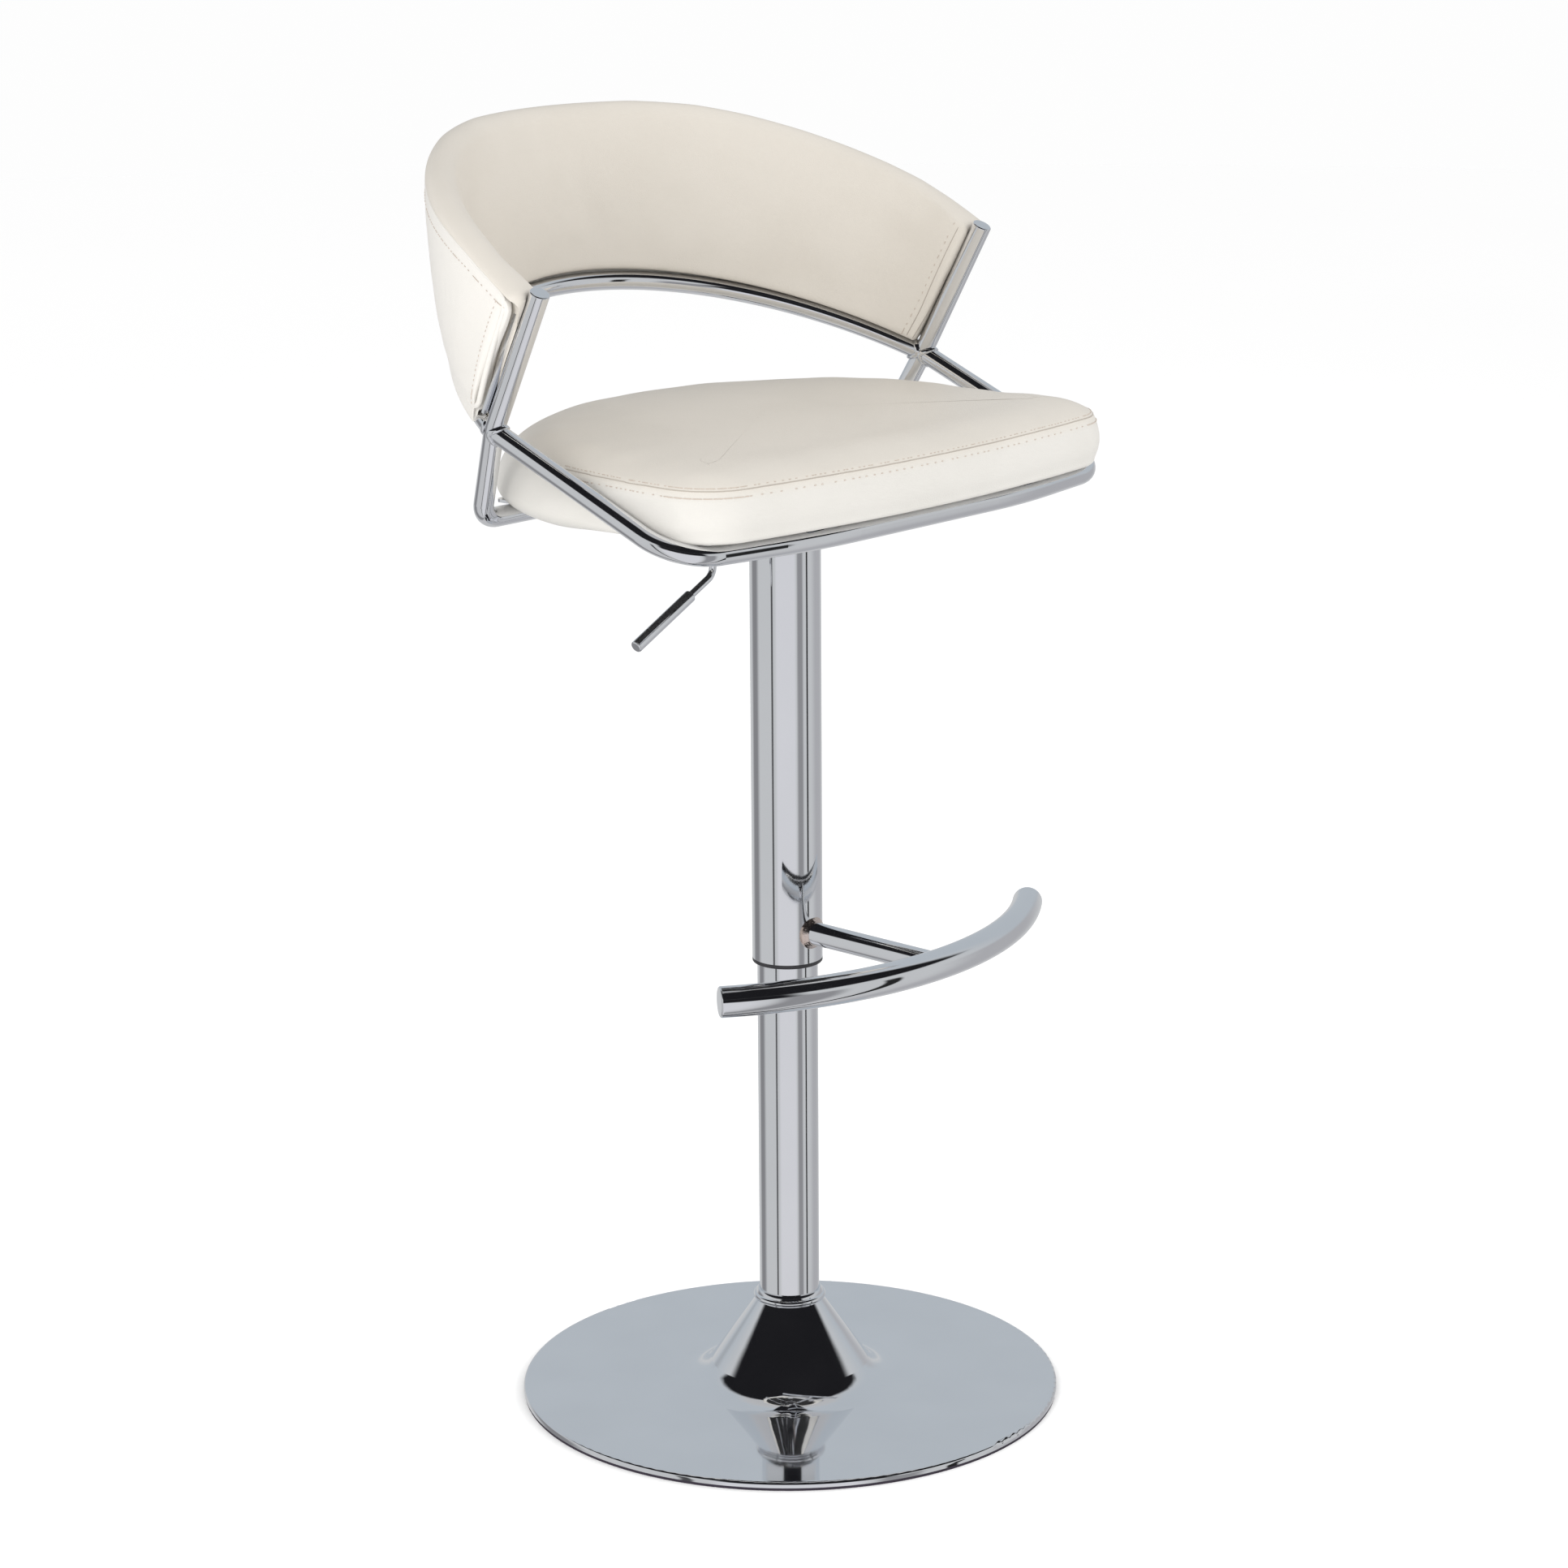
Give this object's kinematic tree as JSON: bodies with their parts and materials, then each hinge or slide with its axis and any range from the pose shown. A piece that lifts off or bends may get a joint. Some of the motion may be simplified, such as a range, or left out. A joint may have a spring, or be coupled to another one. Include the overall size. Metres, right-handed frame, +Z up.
{
  "type": "adjustable swivel stool",
  "caption": "Swivel bar stool with a gas-lift column, trumpet base, footrest bar, ivory cushion and a wrap-round back held in a bent chrome tube frame.",
  "frame": {"origin": "on the floor, at the centre of the base's rubber ring", "axes": "+Z up along the post; the seat faces -Y; +X is the sitter's left, so the lever is on the -X side"},
  "size_m": [0.5556, 0.5055, 1.0602],
  "materials": {
    "chrome": "mirror-polished chrome plate on steel",
    "zinc_steel": "zinc-plated steel, dull",
    "black_steel": "black powder coat",
    "cast_weight": "rough black casting",
    "black_plastic": "moulded black nylon",
    "black_rubber": "soft black rubber",
    "ivory_leather": "ivory leatherette, a coated fabric with a fine grain, over foam",
    "plywood": "birch plywood, unfinished"
  },
  "bodies": {
    "base": {"base_shell": "chrome", "base_edge_ring": "black_rubber", "neck_collar": "chrome", "lower_post": "chrome", "ballast_plate": "cast_weight", "foot_flange": "zinc_steel", "foot_washers": "zinc_steel", "foot_bolts": "zinc_steel", "foot_plate": "zinc_steel", "lower_race": "zinc_steel", "guide_bush": "black_plastic", "cylinder_guide": "black_plastic"},
    "piston_rod": {"piston_rod": "zinc_steel", "piston_head": "black_plastic", "bearing_balls": "zinc_steel", "upper_race": "zinc_steel", "bump_stop": "black_rubber", "rod_washer": "zinc_steel", "rod_clip": "zinc_steel"},
    "seat_column": {"gas_cylinder": "black_steel", "cylinder_gland": "black_plastic", "upper_tube": "chrome", "slide_bush": "black_plastic", "mount_hub": "zinc_steel", "footrest_bar": "chrome", "footrest_end_caps": "chrome", "footrest_stem": "chrome", "stem_weld": "chrome", "rear_frame_tube": "chrome", "back_arc_tube": "chrome", "front_frame_tube": "chrome", "upright_caps": "chrome", "seat_mechanism": "black_steel", "lever_pivot_pin": "zinc_steel", "mechanism_spacers": "zinc_steel", "mechanism_washers": "zinc_steel", "mechanism_bolts": "zinc_steel", "seat_cushion": "ivory_leather", "seat_board": "plywood", "mount_tabs": "chrome", "tab_screws": "zinc_steel", "back_pad": "ivory_leather", "back_board": "plywood", "back_cover": "ivory_leather", "back_end_strips": "chrome"},
    "lever": {"lever_sleeve": "zinc_steel", "lever_tongue": "zinc_steel", "lever_rod": "chrome", "lever_grip": "chrome"},
    "release_pin": {"release_pin": "zinc_steel"}
  },
  "joints": [
    {"name": "seat_swivel", "type": "hinge", "parent": "base", "child": "piston_rod", "pos_m": [0, 0, 0.02], "axis": [0, 0, 1], "continuous": true},
    {"name": "seat_height", "type": "slide", "parent": "piston_rod", "child": "seat_column", "axis": [0, 0, 1], "range_m": [-0.215, 0]},
    {"name": "lever_tilt", "type": "hinge", "parent": "seat_column", "child": "lever", "pos_m": [-0.04, 0, 0.752], "axis": [0, 1, 0], "range_deg": [0, 6], "stiffness_Nm_per_rad": 8, "springref_deg": -5.73},
    {"name": "release_pin_press", "type": "slide", "parent": "seat_column", "child": "release_pin", "axis": [0, 0, 1], "range_m": [-0.0047, 0]}
  ],
  "couplings": [
    {"joint": "release_pin_press", "follows": "lever_tilt", "m_per_rad": -0.043}
  ]
}
